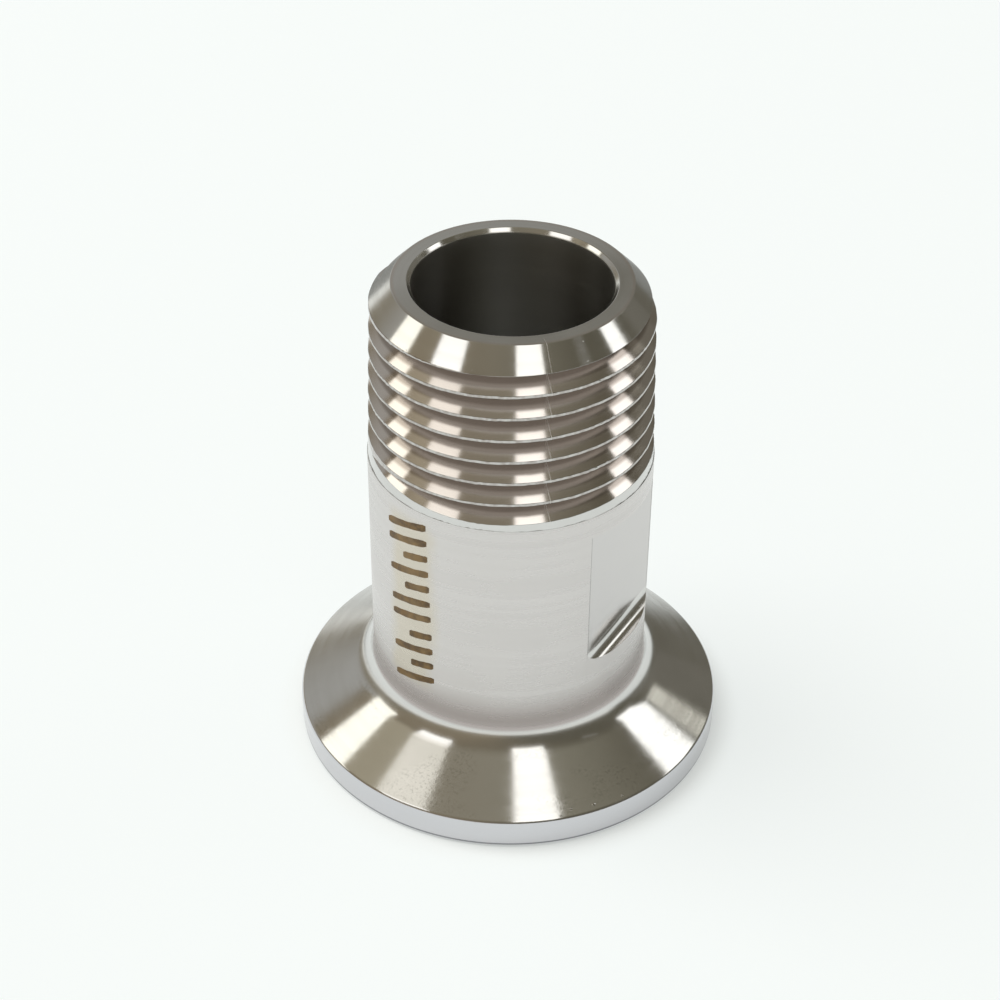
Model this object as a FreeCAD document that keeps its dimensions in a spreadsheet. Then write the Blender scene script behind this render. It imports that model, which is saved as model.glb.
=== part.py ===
import FreeCAD, Part
import math
import os
import Sketcher

# Sanitary clamp adapter turned from one stainless bar: a clamp flange with a conical back and a
# gasket groove in its face, a plain barrel with two wrench flats, and a male taper pipe thread.
# The bore and all turned faces run along Z. The flange face lies on Z = 0 and the thread points up.
# The wrench flats face +X and -X. Lengths are in millimetres, angles in degrees.

SIZES = [
    ("FlangeDiameter", 34.0, "outer diameter of the clamp flange"),
    ("RimHeight", 2.55, "height of the flange's cylindrical rim"),
    ("RimRound", 0.35, "round on the rim's upper edge"),
    ("FaceBevel", 0.3, "bevel on the rim's lower edge"),
    ("ConeAngle", 28.0, "slope of the flange's conical back above the horizontal"),
    ("NeckRadius", 2.7, "radius between the conical back and the barrel"),
    ("SealInset", 3.25, "from the flange's rim to the middle of the gasket groove"),
    ("SealRadius", 1.6, "radius of the gasket groove's round section"),
    ("SealDepth", 1.3, "depth of the gasket groove"),
    ("BoreDiameter", 14.8, "diameter of the through bore"),
    ("MouthBevel", 0.3, "bevel on both mouths of the bore"),
    ("BarrelDiameter", 21.9, "diameter of the plain barrel"),
    ("BarrelTop", 25.9, "height where the barrel steps in to the thread blank"),
    ("FlatDepth", 1.2, "depth of each wrench flat, which leaves 19.5 across the flats"),
    ("FlatLength", 12.15, "length of the flats along the barrel"),
    ("FlatGap", 1.9, "from the upper end of the flats to the barrel's top"),
    ("FlatCorner", 1.0, "radius between a flat and the ledge below it"),
    ("ThreadLength", 14.6, "from the barrel's top to the nose"),
    ("CrestDiameter", 20.875, "diameter over the thread crests at the nose"),
    ("TaperAngle", 1.79, "half angle of the thread's cone, a taper of 1 in 16"),
    ("ThreadPitch", 1.8143, "thread pitch, 14 turns to the inch"),
    ("FlankAngle", 60.0, "angle between the two flanks of the groove"),
    ("CrestWidth", 0.22, "width of the flat left on each crest"),
    ("RootWidth", 0.12, "width of the flat at the bottom of the groove"),
    ("GrooveStart", 1.34, "from the barrel's top to the lowest full-depth groove"),
    ("GrooveTurn", -70.5, "angle about Z where the groove's full depth ends"),
    ("FadeOffset", 2.9, "how far off the axis the groove's fading arc is centred"),
    ("NoseRing", 1.175, "width of the flat ring between the bore's mouth and the nose bevel"),
    ("NoseAngle", 45.0, "slope of the nose bevel"),
]

# How far a cutting tool reaches past the surface that it cuts.
TOOL_REACH = 0.8
# Gap between neighbouring turns of the thread tool, so that it never meets itself.
TURN_GAP = 0.02
# Sweep of the fading arc, which leaves the metal well before its end.
FADE_SWEEP = 110
# Half length of the drawn axis of the fading arc.
AXIS_REACH = 2

# Formulas that several sketches share.
BORE = "(Sizes.BoreDiameter / 2)"
RIM = "(Sizes.FlangeDiameter / 2)"
BARREL = "(Sizes.BarrelDiameter / 2)"
HEIGHT = "(Sizes.BarrelTop + Sizes.ThreadLength)"
CONE_TOP = "(Sizes.RimHeight + (%s - %s) * tan(Sizes.ConeAngle * 1 deg))" % (RIM, BARREL)
TAPER = "tan(Sizes.TaperAngle * 1 deg)"
BLANK = "(Sizes.CrestDiameter / 2 + Sizes.ThreadLength * %s)" % TAPER
SPARE = "(2 * Sizes.ThreadPitch)"
BLANK_TOP = "(%s + %s)" % (HEIGHT, SPARE)
NOSE = "(%s + Sizes.MouthBevel + Sizes.NoseRing)" % BORE
NOSE_REACH = "(Sizes.CrestDiameter / 2 + %s - %s)" % (TOOL_REACH, NOSE)
FLAT_TOP = "(Sizes.BarrelTop - Sizes.FlatGap)"
FLAT_BOTTOM = "(%s - Sizes.FlatLength)" % FLAT_TOP
FLAT_FACE = "(%s - Sizes.FlatDepth)" % BARREL
FLANK = "tan(Sizes.FlankAngle / 2 * 1 deg)"
THREAD_DEPTH = "((Sizes.ThreadPitch - Sizes.CrestWidth - Sizes.RootWidth) / 2 / %s)" % FLANK
GROOVE_MIDDLE = "(Sizes.BarrelTop + Sizes.GrooveStart)"
ROOT = "(%s - Sizes.GrooveStart * %s - %s)" % (BLANK, TAPER, THREAD_DEPTH)

doc = FreeCAD.newDocument("SanitaryAdapter")
sheet = doc.addObject("Spreadsheet::Sheet", "Sizes")
for row, (alias, value, note) in enumerate(SIZES, start=1):
    sheet.set("A%d" % row, alias)
    sheet.set("B%d" % row, str(value))
    sheet.setAlias("B%d" % row, alias)
    sheet.set("C%d" % row, note)
doc.recompute()


def number(formula):
    """The value that a formula of the sheet's sizes gives now."""
    return float(sheet.evalExpression(formula))


def origin_plane(body, role):
    return next(plane for plane in body.Origin.OriginFeatures if plane.Role == role)


def new_sketch(body, name):
    """A sketch on the body's XZ plane, with X as its width and Z as its height."""
    sketch = body.newObject("Sketcher::SketchObject", name)
    sketch.AttachmentSupport = [(origin_plane(body, "XZ_Plane"), "")]
    sketch.MapMode = "FlatFace"
    return sketch


def spot(point):
    return FreeCAD.Vector(number(point[0]), number(point[1]), 0)


def bind(sketch, constraint, formula):
    index = sketch.addConstraint(constraint)
    sketch.setExpression("Constraints[%d]" % index, formula)


def pin(sketch, geometry, end, point):
    """Ties one end or the centre of a geometry to two formulas for its place."""
    place = spot(point)
    bind(sketch, Sketcher.Constraint("DistanceX", -1, 1, geometry, end, place.x), point[0])
    bind(sketch, Sketcher.Constraint("DistanceY", -1, 1, geometry, end, place.y), point[1])


def draw_outline(sketch, points):
    """Draws a closed outline of straight lines through points given as pairs of formulas."""
    count = len(points)
    for i in range(count):
        line = Part.LineSegment(spot(points[i]), spot(points[(i + 1) % count]))
        sketch.addGeometry(line, False)
    for i in range(count):
        sketch.addConstraint(Sketcher.Constraint("Coincident", i, 2, (i + 1) % count, 1))
        pin(sketch, i, 1, points[i])


def ring_edge(shape, radius, height):
    """Name of the full circular edge with this radius at this height, both given as formulas."""
    for index, edge in enumerate(shape.Edges, start=1):
        circle = edge.Curve
        if not isinstance(circle, Part.Circle):
            continue
        if abs(circle.Radius - number(radius)) < 1e-4 and abs(circle.Center.z - number(height)) < 1e-4:
            return "Edge%d" % index
    raise RuntimeError("no ring edge of radius %s at height %s" % (radius, height))


def dress(body, kind, name, size_name, value, rings):
    """Adds a fillet or chamfer of one size along ring edges given by radius and height."""
    base = body.Tip
    feature = body.newObject(kind, name)
    feature.Base = (base, [ring_edge(base.Shape, radius, height) for radius, height in rings])
    feature.setExpression(size_name, value)
    doc.recompute()


def require_cut(feature, volume_before):
    """Recomputes a cutting feature and makes sure that it takes metal away."""
    doc.recompute()
    if not feature.Shape.Volume < volume_before - 1e-3:
        raise RuntimeError("%s cuts nothing" % feature.Name)


body = doc.addObject("PartDesign::Body", "Adapter")
body.Label = "adapter_body"
body.Placement = FreeCAD.Placement()

# Turned section: flange face, rim, conical back, barrel, step and thread blank. The blank stands
# two turns higher than the finished nose, so that the thread groove ends in spare metal.
section = new_sketch(body, "TurnedSection")
draw_outline(section, [
    (BORE, "0"),
    (RIM, "0"),
    (RIM, "Sizes.RimHeight"),
    (BARREL, CONE_TOP),
    (BARREL, "Sizes.BarrelTop"),
    (BLANK, "Sizes.BarrelTop"),
    ("Sizes.CrestDiameter / 2 - %s * %s" % (SPARE, TAPER), BLANK_TOP),
    (BORE, BLANK_TOP),
])
turned = body.newObject("PartDesign::Revolution", "TurnedBlank")
turned.Profile = section
turned.ReferenceAxis = (section, ["V_Axis"])
turned.Angle = 360
doc.recompute()

# Edges of the turned blank: neck radius, rim round, rim bevel and the bore's lower mouth.
dress(body, "PartDesign::Fillet", "NeckRound", "Radius", "Sizes.NeckRadius", [(BARREL, CONE_TOP)])
dress(body, "PartDesign::Fillet", "RimEdge", "Radius", "Sizes.RimRound", [(RIM, "Sizes.RimHeight")])
dress(body, "PartDesign::Chamfer", "FaceEdge", "Size", "Sizes.FaceBevel", [(RIM, "0")])
dress(body, "PartDesign::Chamfer", "FlangeMouth", "Size", "Sizes.MouthBevel", [(BORE, "0")])

# Gasket groove: a round section turned into the flange face.
seal_section = new_sketch(body, "SealSection")
seal_centre = ("%s - Sizes.SealInset" % RIM, "Sizes.SealDepth - Sizes.SealRadius")
seal_circle = Part.Circle(spot(seal_centre), FreeCAD.Vector(0, 0, 1), number("Sizes.SealRadius"))
seal_section.addGeometry(seal_circle, False)
pin(seal_section, 0, 3, seal_centre)
bind(seal_section, Sketcher.Constraint("Radius", 0, seal_circle.Radius), "Sizes.SealRadius")
volume = body.Tip.Shape.Volume
seal = body.newObject("PartDesign::Groove", "SealGroove")
seal.Profile = seal_section
seal.ReferenceAxis = (seal_section, ["V_Axis"])
seal.Angle = 360
require_cut(seal, volume)

# Wrench flat on +X: square at its upper end, with a round corner above the lower ledge.
flat_section = new_sketch(body, "FlatSection")
corner_centre = (
    "%s + Sizes.FlatCorner" % FLAT_FACE,
    "%s + Sizes.FlatCorner" % FLAT_BOTTOM,
)
flat_points = [
    (corner_centre[0], FLAT_BOTTOM),
    ("%s + %s" % (BARREL, TOOL_REACH), FLAT_BOTTOM),
    ("%s + %s" % (BARREL, TOOL_REACH), FLAT_TOP),
    (FLAT_FACE, FLAT_TOP),
    (FLAT_FACE, corner_centre[1]),
]
for start, end in zip(flat_points, flat_points[1:]):
    flat_section.addGeometry(Part.LineSegment(spot(start), spot(end)), False)
corner = Part.Circle(spot(corner_centre), FreeCAD.Vector(0, 0, 1), number("Sizes.FlatCorner"))
flat_section.addGeometry(Part.ArcOfCircle(corner, math.pi, 1.5 * math.pi), False)
for line in range(3):
    flat_section.addConstraint(Sketcher.Constraint("Coincident", line, 2, line + 1, 1))
for line in range(4):
    pin(flat_section, line, 1, flat_points[line])
pin(flat_section, 3, 2, flat_points[4])
flat_section.addConstraint(Sketcher.Constraint("Coincident", 3, 2, 4, 1))
flat_section.addConstraint(Sketcher.Constraint("Coincident", 4, 2, 0, 1))
across = Sketcher.Constraint("DistanceX", -1, 1, 4, 3, number(corner_centre[0]))
bind(flat_section, across, corner_centre[0])
volume = body.Tip.Shape.Volume
flat = body.newObject("PartDesign::Pocket", "WrenchFlat")
flat.Profile = flat_section
flat.Type = "ThroughAll"
flat.Midplane = True
require_cut(flat, volume)

# The second flat, opposite the first.
volume = flat.Shape.Volume
flats = body.newObject("PartDesign::Mirrored", "OtherFlat")
flats.Originals = [flat]
flats.MirrorPlane = (origin_plane(body, "YZ_Plane"), [""])
body.Tip = flats
require_cut(flats, volume)

# Thread section: a vee with a narrow root, drawn where the groove's full depth ends. Beyond the
# crests it opens until neighbouring turns nearly meet. The drawn axis is that of the fading arc.
root_half = "Sizes.RootWidth / 2"
mouth_half = "(Sizes.ThreadPitch - %s) / 2" % TURN_GAP
mouth = "%s + (%s - %s) / %s" % (ROOT, mouth_half, root_half, FLANK)
thread_section = new_sketch(body, "ThreadSection")
thread_section.AttachmentOffset = FreeCAD.Placement(
    FreeCAD.Vector(0, 0, 0),
    FreeCAD.Rotation(FreeCAD.Vector(0, 1, 0), number("Sizes.GrooveTurn")),
)
thread_section.setExpression("AttachmentOffset.Rotation.Angle", "Sizes.GrooveTurn * 1 deg")
draw_outline(thread_section, [
    (ROOT, "%s - %s" % (GROOVE_MIDDLE, root_half)),
    (mouth, "%s - %s" % (GROOVE_MIDDLE, mouth_half)),
    (mouth, "%s + %s" % (GROOVE_MIDDLE, mouth_half)),
    (ROOT, "%s + %s" % (GROOVE_MIDDLE, root_half)),
])
fade_axis = [
    ("-Sizes.FadeOffset", "%s - %s" % (GROOVE_MIDDLE, AXIS_REACH)),
    ("-Sizes.FadeOffset", "%s + %s" % (GROOVE_MIDDLE, AXIS_REACH)),
]
axis_line = thread_section.addGeometry(Part.LineSegment(spot(fade_axis[0]), spot(fade_axis[1])), True)
pin(thread_section, axis_line, 1, fade_axis[0])
pin(thread_section, axis_line, 2, fade_axis[1])
doc.recompute()

# Right-hand groove that climbs along the thread's cone into the spare metal above the nose.
volume = body.Tip.Shape.Volume
thread = body.newObject("PartDesign::SubtractiveHelix", "ThreadGroove")
thread.Profile = thread_section
thread.ReferenceAxis = (thread_section, ["V_Axis"])
thread.Mode = "pitch-height-angle"
thread.setExpression("Pitch", "Sizes.ThreadPitch")
thread.setExpression("Height", "%s - %s + Sizes.ThreadPitch" % (HEIGHT, GROOVE_MIDDLE))
thread.setExpression("Angle", "-Sizes.TaperAngle")
thread.LeftHanded = False
require_cut(thread, volume)

# Below its full depth the groove fades out along an arc that leaves the blank.
volume = thread.Shape.Volume
fade = body.newObject("PartDesign::Groove", "ThreadFade")
fade.Profile = thread_section
fade.ReferenceAxis = (thread_section, ["Axis0"])
fade.Angle = FADE_SWEEP
fade.Reversed = True
require_cut(fade, volume)

# The nose: cuts off the spare metal and leaves a mouth bevel, a flat ring and a wide outer bevel.
nose_section = new_sketch(body, "NoseSection")
bevel_foot = "%s - %s * tan(Sizes.NoseAngle * 1 deg)" % (HEIGHT, NOSE_REACH)
draw_outline(nose_section, [
    (BORE, "%s - Sizes.MouthBevel" % HEIGHT),
    ("%s + Sizes.MouthBevel" % BORE, HEIGHT),
    (NOSE, HEIGHT),
    ("%s + %s" % (NOSE, NOSE_REACH), bevel_foot),
    ("%s + %s" % (NOSE, NOSE_REACH), "%s + %s" % (BLANK_TOP, TOOL_REACH)),
    (BORE, "%s + %s" % (BLANK_TOP, TOOL_REACH)),
])
volume = body.Tip.Shape.Volume
nose = body.newObject("PartDesign::Groove", "NoseCut")
nose.Profile = nose_section
nose.ReferenceAxis = (nose_section, ["V_Axis"])
nose.Angle = 360
require_cut(nose, volume)

# Every object has to be sound before anything is written.
for item in doc.Objects:
    for fault in ("Invalid", "Error"):
        if fault in item.State:
            raise RuntimeError("%s is %s" % (item.Name, fault))
if body.Shape.isNull() or not body.Shape.isValid() or len(body.Shape.Solids) != 1:
    raise RuntimeError("the adapter's shape is not one sound solid")

os.makedirs("parts", exist_ok=True)
body.Shape.exportStep("parts/%s.step" % body.Label)
print(body.Label, "volume", round(body.Shape.Volume, 1), "faces", len(body.Shape.Faces))
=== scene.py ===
import bpy
import math
from mathutils import Matrix, Vector


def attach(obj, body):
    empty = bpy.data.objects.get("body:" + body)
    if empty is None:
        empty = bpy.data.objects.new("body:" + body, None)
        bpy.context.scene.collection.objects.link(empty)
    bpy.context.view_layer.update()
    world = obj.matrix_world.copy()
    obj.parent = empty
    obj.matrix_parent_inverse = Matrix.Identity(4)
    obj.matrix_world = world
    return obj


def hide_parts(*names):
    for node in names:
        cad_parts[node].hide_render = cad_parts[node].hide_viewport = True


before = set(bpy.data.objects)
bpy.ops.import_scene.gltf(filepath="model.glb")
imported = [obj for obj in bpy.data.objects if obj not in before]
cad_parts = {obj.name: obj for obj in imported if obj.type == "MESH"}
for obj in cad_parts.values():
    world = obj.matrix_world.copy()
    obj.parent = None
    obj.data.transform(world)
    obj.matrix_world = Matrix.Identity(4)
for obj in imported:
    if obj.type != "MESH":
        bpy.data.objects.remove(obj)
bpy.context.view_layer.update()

MM = 0.001

# Sizes, mm, and angles, degrees where not said otherwise
BORE = 7.4
MOUTH = 0.3
FLANGE = 17.0
FACE_BEVEL = 0.3
RIM_TOP = 2.55
RIM_ROUND = 0.35
CONE = math.radians(28)
BARREL = 10.95
NECK = 2.7
# the gasket groove in the flange's face: circle it runs on, height of its round's centre, radius of the round
SEAL_R, SEAL_Z, SEAL_ROUND = 13.75, -0.3, 1.6
FLAT_X, FLAT_LOW, FLAT_HIGH, FLAT_CORNER = 9.75, 11.85, 24.0, 1.0
STEP_Z = 25.9
TOP = 40.5
NOSE_RING = 8.875
# the thread: radius over the crests at the top, taper, pitch, turns, and height and azimuth of its start
CREST_TOP = 10.4375
TAPER = math.tan(math.radians(1.79))
PITCH = 1.8143
TURNS = 9
START_Z, START_TURN = 27.24, -70.5
# its groove: depth, half the width of the root, slope of the flanks and how high and low they can reach
DEPTH = 1.2768
ROOT_HALF = 0.06
FLANK = 1 / math.tan(math.radians(30))
FLANK_REACH = 1.0
# the run-out before the start: its length in degrees, and how far beyond the axis its arc's centre lies
RUN_OUT = 75
FADE = 2.9
# heights between which the groove's last turn grows shallow below the nose bevel, and by what share
LAST_LOW, LAST_HIGH = 39.36, 39.54
LAST_SHARE = 0.8
# the thread's upper-facing flanks shine like a slope this steep, as if cut slightly convex
FLANK_SHINE = math.radians(37)
# the normal, outward and upward, of the small step above the barrel: rubbed round, it shines like the barrel
STEP_SHINE = (0.98, 0.2)

# Mesh fineness
# how far inside a stretch's ends its rows lie, so that the edge between two stretches is slightly rounded
EDGE = 0.035
THREAD_EDGE = 0.03
STEP_EDGE = 0.02
# the most of a short stretch's length that lies outside either row
MOST_INSET = 0.4
TINY = 1e-7
# stretches of the thread shorter than this, and ends of a wrench flat less deep than that, are left out
SHORT = 0.004
THIN = 0.002
# rows closer than this are one row
TOUCHING = 1e-4
# rows on a round, and on a small corner
ROUND_STEPS = 16
CORNER_STEPS = 8
# columns round the body
COLUMNS, QUICK_COLUMNS = 540, 240
# extra columns lie this many degrees on either side of a wrench flat's long edge
BESIDE_EDGE = 0.11
# columns closer than this, in degrees, are one column
CLOSEST = 0.05


def blank(z):
    """Radius over the crests at height z."""
    return CREST_TOP + (TOP - z) * TAPER


# Turned profile
def run(tag, points, inset=(EDGE, EDGE)):
    """A straight stretch of the profile: two rows just inside its ends, with the stretch's own normal."""
    (r0, z0), (r1, z1) = points
    length = math.hypot(r1 - r0, z1 - z0)
    ur, uz = (r1 - r0) / length, (z1 - z0) / length
    a, b = (min(d, MOST_INSET * length) for d in inset)
    n = (uz, -ur)
    return [
        ((tag, 0), r0 + ur * a, z0 + uz * a, n),
        ((tag, 1), r1 - ur * b, z1 - uz * b, n),
    ]


def arc(tag, centre, radius, a0, a1, steps, hollow=False):
    """A round stretch of the profile, with the normal of the round on each row."""
    rows = []
    for i in range(steps + 1):
        a = math.radians(a0 + (a1 - a0) * i / steps)
        c, s = math.cos(a), math.sin(a)
        n = (-c, -s) if hollow else (c, s)
        rows.append(((tag, i), centre[0] + radius * c, centre[1] + radius * s, n))
    return rows


def foot():
    """From the bore's lower mouth over the face, the gasket groove, the rim and the cone to the neck."""
    rows = run("lower_mouth", ((BORE, MOUTH), (BORE + MOUTH, 0)))
    low = math.degrees(math.asin(-SEAL_Z / SEAL_ROUND))
    reach = SEAL_ROUND * math.cos(math.radians(low))
    rows += run("face_in", ((BORE + MOUTH, 0), (SEAL_R - reach, 0)))
    rows += arc("seal", (SEAL_R, SEAL_Z), SEAL_ROUND, 180 - low, low, ROUND_STEPS, True)
    rows += run("face_out", ((SEAL_R + reach, 0), (FLANGE - FACE_BEVEL, 0)))
    rows += run("face_bevel", ((FLANGE - FACE_BEVEL, 0), (FLANGE, FACE_BEVEL)))
    # the rim's upper edge is rounded between the upright rim and the cone
    turn = 90 - math.degrees(CONE)
    back = RIM_ROUND * math.tan(math.radians(turn / 2))
    rows += run("rim", ((FLANGE, FACE_BEVEL), (FLANGE, RIM_TOP - back)), (EDGE, 0))
    rows += arc("rim_edge", (FLANGE - RIM_ROUND, RIM_TOP - back), RIM_ROUND, 0, turn, CORNER_STEPS)
    # the neck's round is tangent to the cone and to the barrel
    corner_z = RIM_TOP + (FLANGE - BARREL) * math.tan(CONE)
    cut = NECK * math.tan(math.radians(turn / 2))
    c, s = math.cos(CONE), math.sin(CONE)
    rows += run(
        "cone",
        ((FLANGE - back * c, RIM_TOP + back * s), (BARREL + cut * c, corner_z - cut * s)),
        (0, 0),
    )
    centre = (BARREL + NECK, corner_z + cut)
    rows += arc("neck", centre, NECK, 270 - math.degrees(CONE), 180, ROUND_STEPS, True)
    return rows, corner_z + cut


FOOT, NECK_TOP = foot()


def flat_rows(theta):
    """The barrel with the wrench flat's cut, at an angle from the flat's middle, with full normals."""
    c = math.cos(theta)
    rows = []
    ledge_x = FLAT_X + FLAT_CORNER
    if ledge_x / c < BARREL - THIN:
        rows += run("flat_foot", ((BARREL, FLAT_LOW), (ledge_x / c, FLAT_LOW)), (EDGE, 0))
        first = 0.0
    else:
        first = math.degrees(math.acos(min(1.0, max(0.0, (ledge_x - BARREL * c) / FLAT_CORNER))))
        first = 90 - first
    for i in range(CORNER_STEPS + 1):
        a = math.radians(first + (90 - first) * i / CORNER_STEPS)
        x = ledge_x - FLAT_CORNER * math.sin(a)
        z = FLAT_LOW + FLAT_CORNER * (1 - math.cos(a))
        rows.append((("flat_corner", i), x / c, z, Vector((math.sin(a), 0, math.cos(a)))))
    rows.append((("flat", 0), FLAT_X / c, FLAT_HIGH - EDGE, Vector((1, 0, 0))))
    if BARREL - FLAT_X / c > THIN:
        rows += run("flat_head", ((FLAT_X / c, FLAT_HIGH), (BARREL, FLAT_HIGH)))
    return rows


# half the angle that a wrench flat spans at its plane, and at its ledge's depth
FLAT_EDGE = math.degrees(math.acos(FLAT_X / BARREL))
LEDGE_EDGE = math.degrees(math.acos((FLAT_X + FLAT_CORNER) / BARREL))


# Thread
# waves of a crest's unevenness: size, mm, waves in a turn, phase, and phase gained each turn
OUT_WAVES = ((0.007, 17, 0.0, 5.1), (0.006, 41, 1.3, 2.7))
UP_WAVES = ((0.012, 23, 0.7, 3.3), (0.010, 57, 2.1, 1.9))
TORN_OUT_WAVES = ((0.04, 131, 0.4, 7.0),)
TORN_UP_WAVES = ((0.05, 97, 1.1, 4.0),)
TORN_WAVES = ((1.0, 2.3, 0.0, 2.9),)
TORN_FROM = 0.55
MOST_OUT = 0.012


def waves(kind, angle, turns):
    """The sum of one kind of waves at an angle round the axis, so many turns up the thread."""
    return sum(size * math.sin(count * angle + phase + gain * turns) for size, count, phase, gain in kind)


def crest_wear(turn, degrees):
    """Small unevenness of a crest, mm out and mm up, the same wherever it is asked for."""
    at = (math.radians(degrees), turn + degrees / 360)
    # ragged stretches, where the tool tore the crest
    torn = max(0.0, waves(TORN_WAVES, *at) - TORN_FROM)
    out = waves(OUT_WAVES, *at) + torn * waves(TORN_OUT_WAVES, *at)
    up = waves(UP_WAVES, *at) + torn * waves(TORN_UP_WAVES, *at)
    return min(out, MOST_OUT), up


def groove_root(z):
    """Radius of the groove's root at height z, shallow where its last turn fades out."""
    late = min(1.0, max(0.0, (z - LAST_LOW) / (LAST_HIGH - LAST_LOW)))
    return blank(z) - DEPTH * (1 - LAST_SHARE * late)


def run_out_root(degrees):
    """Radius of the groove's root this far before its start, where it rises on a wider arc."""
    a = math.radians(degrees)
    big = blank(START_Z) - DEPTH + FADE
    return -FADE * math.cos(a) + math.sqrt(big * big - (FADE * math.sin(a)) ** 2)


def outlines(theta):
    """The lines that bound thread and nose at an azimuth: name, turn, height, radius, slope and both ends."""
    t = (theta - START_TURN) / 360
    lines = [
        ("crest", 0, STEP_Z, blank(STEP_Z), -TAPER, STEP_Z, TOP),
        ("nose", 0, STEP_Z, NOSE_RING + TOP - STEP_Z, -1.0, STEP_Z, TOP),
    ]
    middles = [START_Z + PITCH * (t + k) for k in range(TURNS)]
    grooves = [(k, z, groove_root(z)) for k, z in enumerate(middles)]
    ahead = 360 * (1 - t)
    if ahead < RUN_OUT:
        grooves.insert(0, (-1, START_Z, run_out_root(ahead)))
    for k, z, root in grooves:
        low, high = z - ROOT_HALF, z + ROOT_HALF
        lines.append(("low_flank", k, low, root, -FLANK, z - FLANK_REACH, low))
        lines.append(("root", k, z, root, -TAPER, low, high))
        lines.append(("flank", k, high, root, FLANK, high, z + FLANK_REACH))
    return lines


def crossings(lines):
    """Heights, in order, at which the lines end or cross."""
    heights = {STEP_Z, TOP}
    for i, (_, _, z0, r0, slope0, low0, high0) in enumerate(lines):
        heights.update((low0, high0))
        for _, _, z1, r1, slope1, low1, high1 in lines[i + 1:]:
            if abs(slope0 - slope1) > TINY:
                z = ((r1 - slope1 * z1) - (r0 - slope0 * z0)) / (slope0 - slope1)
                if max(low0, low1) < z < min(high0, high1):
                    heights.add(z)
    return sorted(z for z in heights if STEP_Z <= z <= TOP)


def innermost(lines):
    """The stretches of line that lie nearest to the axis, from below: line, lower end, upper end."""
    heights = crossings(lines)
    stretches = []
    for low, high in zip(heights, heights[1:]):
        if high - low < TINY:
            continue
        z = (low + high) / 2
        reaching = [line for line in lines if line[5] <= z <= line[6]]
        nearest = min(reaching, key=lambda line: line[3] + line[4] * (z - line[2]))
        if stretches and stretches[-1][0] is nearest:
            stretches[-1][2] = high
        else:
            stretches.append([nearest, low, high])
    return stretches


def upper(theta):
    """The rows of thread and nose bevel at azimuth theta, in degrees."""
    rows = []
    last_turn = -2
    for (name, k, z0, r0, slope, _, _), low, high in innermost(outlines(theta)):
        if name == "nose" and high > TOP - TINY:
            tag = (name, "top")
        elif name in ("crest", "nose"):
            tag = (name, last_turn)
        else:
            tag = (name, k)
            last_turn = k
        ends = [(r0 + slope * (z - z0), z) for z in (low, high)]
        if math.dist(*ends) < SHORT:
            continue
        stretch = run(tag, ends, (THREAD_EDGE, THREAD_EDGE))
        if name == "low_flank":
            shine = (math.sin(FLANK_SHINE), math.cos(FLANK_SHINE))
            stretch = [(tag_end, r, z, shine) for tag_end, r, z, _ in stretch]
        rows += stretch
    return rows


# Turned body
def barrel(theta):
    """The barrel's rows at azimuth theta, in degrees, with the two wrench flats."""
    off = (theta + 90) % 180 - 90
    if abs(off) >= FLAT_EDGE:
        return [
            (("barrel", 0), BARREL, NECK_TOP, (1, 0)),
            (("barrel_up", 1), BARREL, STEP_Z - EDGE, (1, 0)),
        ]
    part = flat_rows(math.radians(off))
    # towards its long edges the flat's corner starts above the ledge
    low_z = part[0][2] if part[0][0][0] == "flat_corner" else FLAT_LOW
    rows = run("barrel", ((BARREL, NECK_TOP), (BARREL, low_z)), (0, EDGE))
    flipped = abs(((theta + 180) % 360) - 180) > 90
    turn = math.radians(180) if flipped else 0.0
    for tag, r, z, n in part:
        if isinstance(n, Vector):
            n = Matrix.Rotation(turn, 3, "Z") @ n
        rows.append((tag, r, z, n))
    return rows + run("barrel_up", ((BARREL, FLAT_HIGH), (BARREL, STEP_Z)))


def column(theta):
    """The whole closed profile at one azimuth, as rows of (tag, radius, height, normal)."""
    rows = FOOT + barrel(theta)
    step = run("step", ((BARREL, STEP_Z), (blank(STEP_Z), STEP_Z)), (STEP_EDGE, STEP_EDGE))
    rows += [(tag, r, z, STEP_SHINE) for tag, r, z, _ in step]
    rows += upper(theta)
    rows += run("ring", ((NOSE_RING, TOP), (BORE + MOUTH, TOP)))
    rows += run("upper_mouth", ((BORE + MOUTH, TOP), (BORE, TOP - MOUTH)))
    rows += run("bore", ((BORE, TOP - MOUTH), (BORE, MOUTH)))
    # where two stretches meet tangent, one row serves both
    kept = [rows[0]]
    for row in rows[1:]:
        if math.hypot(row[1] - kept[-1][1], row[2] - kept[-1][2]) > TOUCHING:
            kept.append(row)
    return kept


def shifted(rows):
    """The first column's rows as the last column meets them, one turn of the thread lower."""
    out = []
    for (name, end), r, z, n in rows:
        if isinstance(name, tuple):
            name = (name[0], name[1] if name[1] == "top" else name[1] - 1)
        out.append(((name, end), r, z, n))
    return out


def azimuths(count):
    """The columns' azimuths: even steps, and more beside the wrench flats' edges."""
    out = [START_TURN + 360 * i / count for i in range(count)]
    for middle in (0, 180):
        for side in (-1, 1):
            for edge in (FLAT_EDGE - BESIDE_EDGE, FLAT_EDGE + BESIDE_EDGE, LEDGE_EDGE):
                out.append(middle + side * edge)
    out = sorted((a - START_TURN) % 360 + START_TURN for a in out)
    kept = [out[0]]
    for a in out[1:]:
        if a - kept[-1] > CLOSEST:
            kept.append(a)
    return kept


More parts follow.
